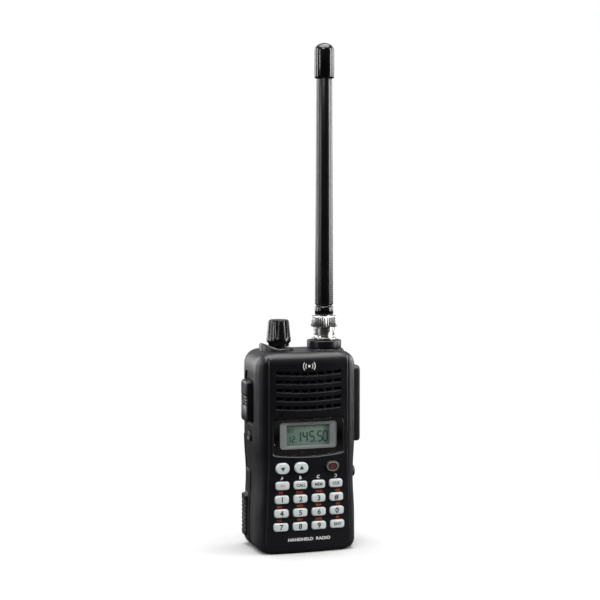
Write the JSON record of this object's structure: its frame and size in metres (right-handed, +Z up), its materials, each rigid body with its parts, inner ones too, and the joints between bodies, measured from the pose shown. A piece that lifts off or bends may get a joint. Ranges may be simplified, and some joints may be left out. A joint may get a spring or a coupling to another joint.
{
  "type": "handheld radio",
  "caption": "Handheld two-way FM radio with keypad, display window, volume knob, push-to-talk bar, slide-off battery and bayonet whip antenna.",
  "frame": {"origin": "on the base, under the middle of the body, where the radio stands", "axes": "+Z up along the antenna, keypad facing -Y, +X to the right of someone who reads the keypad"},
  "size_m": [0.0631, 0.0356, 0.2742],
  "materials": {
    "case_black": "fine texture, slightly bluish black",
    "chassis_black": "die-cast, black paint",
    "screw_steel": "blackened",
    "battery_black": "fine texture, black",
    "cell_wrap": "shrink wrap",
    "contact_gold": "plated",
    "latch_black": "fine texture",
    "board_green": "solder mask",
    "shield_tin": "tinned sheet",
    "silicone_grey": "silicone",
    "speaker_black": "paper cone and steel frame",
    "gauze_black": "woven gauze",
    "microphone_grey": "pressed can",
    "switch_black": "moulded",
    "window_clear": "clear acrylic with a black border",
    "bezel_grey": "satin",
    "display_glass": "polarised, grey-green",
    "light_guide": "translucent",
    "key_grey": "satin, light cool grey",
    "key_black": "satin",
    "control_black": "satin",
    "shaft_steel": "plated",
    "cover_rubber": "matt",
    "connector_chrome": "bright nickel",
    "collar_black": "satin",
    "whip_black": "smooth, semi-gloss",
    "element_copper": "wound wire"
  },
  "bodies": {
    "radio": {"front_housing": "case_black", "rear_chassis": "chassis_black", "chassis_screw_upper_left": "screw_steel", "chassis_screw_upper_right": "screw_steel", "chassis_screw_lower_left": "screw_steel", "chassis_screw_lower_right": "screw_steel", "main_board": "board_green", "shield_can": "shield_tin", "keypad_mat": "silicone_grey", "speaker": "speaker_black", "speaker_gauze": "gauze_black", "microphone": "microphone_grey", "contact_block": "contact_gold", "ptt_switch": "switch_black", "jack_block": "switch_black", "dc_jack": "switch_black", "lcd_window": "window_clear", "lcd_bezel": "bezel_grey", "lcd_glass": "display_glass", "lcd_backlight": "light_guide", "encoder_body": "shaft_steel", "antenna_jack": "connector_chrome", "antenna_collar": "collar_black"},
    "key_func": {"key_func": "key_grey"},
    "key_call": {"key_call": "key_grey"},
    "key_mr": {"key_mr": "key_grey"},
    "key_clr": {"key_clr": "key_grey"},
    "key_1": {"key_1": "key_grey"},
    "key_2": {"key_2": "key_grey"},
    "key_3": {"key_3": "key_grey"},
    "key_hash": {"key_hash": "key_grey"},
    "key_4": {"key_4": "key_grey"},
    "key_5": {"key_5": "key_grey"},
    "key_6": {"key_6": "key_grey"},
    "key_0": {"key_0": "key_grey"},
    "key_7": {"key_7": "key_grey"},
    "key_8": {"key_8": "key_grey"},
    "key_9": {"key_9": "key_grey"},
    "key_ent": {"key_ent": "key_grey"},
    "key_down": {"key_down": "key_grey"},
    "key_up": {"key_up": "key_grey"},
    "key_power": {"key_power": "key_black"},
    "volume_knob": {"volume_knob": "control_black", "encoder_shaft": "shaft_steel"},
    "ptt_button": {"ptt_button": "control_black"},
    "monitor_button": {"monitor_button": "cover_rubber"},
    "jack_cover": {"jack_cover": "cover_rubber"},
    "dc_cap": {"dc_cap": "cover_rubber"},
    "battery_pack": {"battery_case": "battery_black", "battery_cover": "battery_black", "battery_cell_left": "cell_wrap", "battery_cell_right": "cell_wrap", "battery_terminals": "contact_gold"},
    "battery_latch": {"battery_latch": "latch_black"},
    "antenna": {"antenna_plug": "connector_chrome", "antenna_sleeve": "whip_black", "antenna_element": "element_copper", "antenna_whip": "whip_black", "antenna_cap": "whip_black"},
    "coupling_nut": {"antenna_coupling_nut": "connector_chrome"}
  },
  "joints": [
    {"name": "key_func_press", "type": "slide", "parent": "radio", "child": "key_func", "axis": [0, 1, 0], "range_m": [0, 0.0008], "stiffness_N_per_m": 1500, "springref_m": -0.0004},
    {"name": "key_call_press", "type": "slide", "parent": "radio", "child": "key_call", "axis": [0, 1, 0], "range_m": [0, 0.0008], "stiffness_N_per_m": 1500, "springref_m": -0.0004},
    {"name": "key_mr_press", "type": "slide", "parent": "radio", "child": "key_mr", "axis": [0, 1, 0], "range_m": [0, 0.0008], "stiffness_N_per_m": 1500, "springref_m": -0.0004},
    {"name": "key_clr_press", "type": "slide", "parent": "radio", "child": "key_clr", "axis": [0, 1, 0], "range_m": [0, 0.0008], "stiffness_N_per_m": 1500, "springref_m": -0.0004},
    {"name": "key_1_press", "type": "slide", "parent": "radio", "child": "key_1", "axis": [0, 1, 0], "range_m": [0, 0.0008], "stiffness_N_per_m": 1500, "springref_m": -0.0004},
    {"name": "key_2_press", "type": "slide", "parent": "radio", "child": "key_2", "axis": [0, 1, 0], "range_m": [0, 0.0008], "stiffness_N_per_m": 1500, "springref_m": -0.0004},
    {"name": "key_3_press", "type": "slide", "parent": "radio", "child": "key_3", "axis": [0, 1, 0], "range_m": [0, 0.0008], "stiffness_N_per_m": 1500, "springref_m": -0.0004},
    {"name": "key_hash_press", "type": "slide", "parent": "radio", "child": "key_hash", "axis": [0, 1, 0], "range_m": [0, 0.0008], "stiffness_N_per_m": 1500, "springref_m": -0.0004},
    {"name": "key_4_press", "type": "slide", "parent": "radio", "child": "key_4", "axis": [0, 1, 0], "range_m": [0, 0.0008], "stiffness_N_per_m": 1500, "springref_m": -0.0004},
    {"name": "key_5_press", "type": "slide", "parent": "radio", "child": "key_5", "axis": [0, 1, 0], "range_m": [0, 0.0008], "stiffness_N_per_m": 1500, "springref_m": -0.0004},
    {"name": "key_6_press", "type": "slide", "parent": "radio", "child": "key_6", "axis": [0, 1, 0], "range_m": [0, 0.0008], "stiffness_N_per_m": 1500, "springref_m": -0.0004},
    {"name": "key_0_press", "type": "slide", "parent": "radio", "child": "key_0", "axis": [0, 1, 0], "range_m": [0, 0.0008], "stiffness_N_per_m": 1500, "springref_m": -0.0004},
    {"name": "key_7_press", "type": "slide", "parent": "radio", "child": "key_7", "axis": [0, 1, 0], "range_m": [0, 0.0008], "stiffness_N_per_m": 1500, "springref_m": -0.0004},
    {"name": "key_8_press", "type": "slide", "parent": "radio", "child": "key_8", "axis": [0, 1, 0], "range_m": [0, 0.0008], "stiffness_N_per_m": 1500, "springref_m": -0.0004},
    {"name": "key_9_press", "type": "slide", "parent": "radio", "child": "key_9", "axis": [0, 1, 0], "range_m": [0, 0.0008], "stiffness_N_per_m": 1500, "springref_m": -0.0004},
    {"name": "key_ent_press", "type": "slide", "parent": "radio", "child": "key_ent", "axis": [0, 1, 0], "range_m": [0, 0.0008], "stiffness_N_per_m": 1500, "springref_m": -0.0004},
    {"name": "key_down_press", "type": "slide", "parent": "radio", "child": "key_down", "axis": [0, 1, 0], "range_m": [0, 0.0008], "stiffness_N_per_m": 1500, "springref_m": -0.0004},
    {"name": "key_up_press", "type": "slide", "parent": "radio", "child": "key_up", "axis": [0, 1, 0], "range_m": [0, 0.0008], "stiffness_N_per_m": 1500, "springref_m": -0.0004},
    {"name": "key_power_press", "type": "slide", "parent": "radio", "child": "key_power", "axis": [0, 1, 0], "range_m": [0, 0.0008], "stiffness_N_per_m": 1500, "springref_m": -0.0004},
    {"name": "ptt_press", "type": "slide", "parent": "radio", "child": "ptt_button", "axis": [1, 0, 0], "range_m": [0, 0.0012], "stiffness_N_per_m": 2000, "springref_m": -0.0005},
    {"name": "monitor_press", "type": "slide", "parent": "radio", "child": "monitor_button", "axis": [1, 0, 0], "range_m": [0, 0.0008], "stiffness_N_per_m": 1500, "springref_m": -0.0004},
    {"name": "volume_turn", "type": "hinge", "parent": "radio", "child": "volume_knob", "pos_m": [-0.0115, 0.002, 0.1104], "axis": [0, 0, 1], "continuous": true},
    {"name": "jack_cover_swing", "type": "hinge", "parent": "radio", "child": "jack_cover", "pos_m": [0.0285, 0.005, 0.0577], "axis": [0, 0, 1], "range_deg": [0, 95]},
    {"name": "dc_cap_pull", "type": "slide", "parent": "radio", "child": "dc_cap", "axis": [1, 0, 0], "range_m": [0, 0.007]},
    {"name": "battery_slide", "type": "slide", "parent": "radio", "child": "battery_pack", "axis": [0, 1, 0], "range_m": [0, 0.03]},
    {"name": "latch_slide", "type": "slide", "parent": "radio", "child": "battery_latch", "axis": [0, 0, 1], "range_m": [0, 0.0022], "stiffness_N_per_m": 800, "springref_m": -0.001},
    {"name": "antenna_lift", "type": "slide", "parent": "radio", "child": "antenna", "axis": [0, 0, 1], "range_m": [0, 0.002]},
    {"name": "coupling_turn", "type": "hinge", "parent": "antenna", "child": "coupling_nut", "pos_m": [0.01435, 0.002, 0.1158], "axis": [0, 0, 1], "range_deg": [0, 90.1]}
  ],
  "couplings": [
    {"joint": "coupling_turn", "follows": "antenna_lift", "rad_per_m": 785.4}
  ]
}
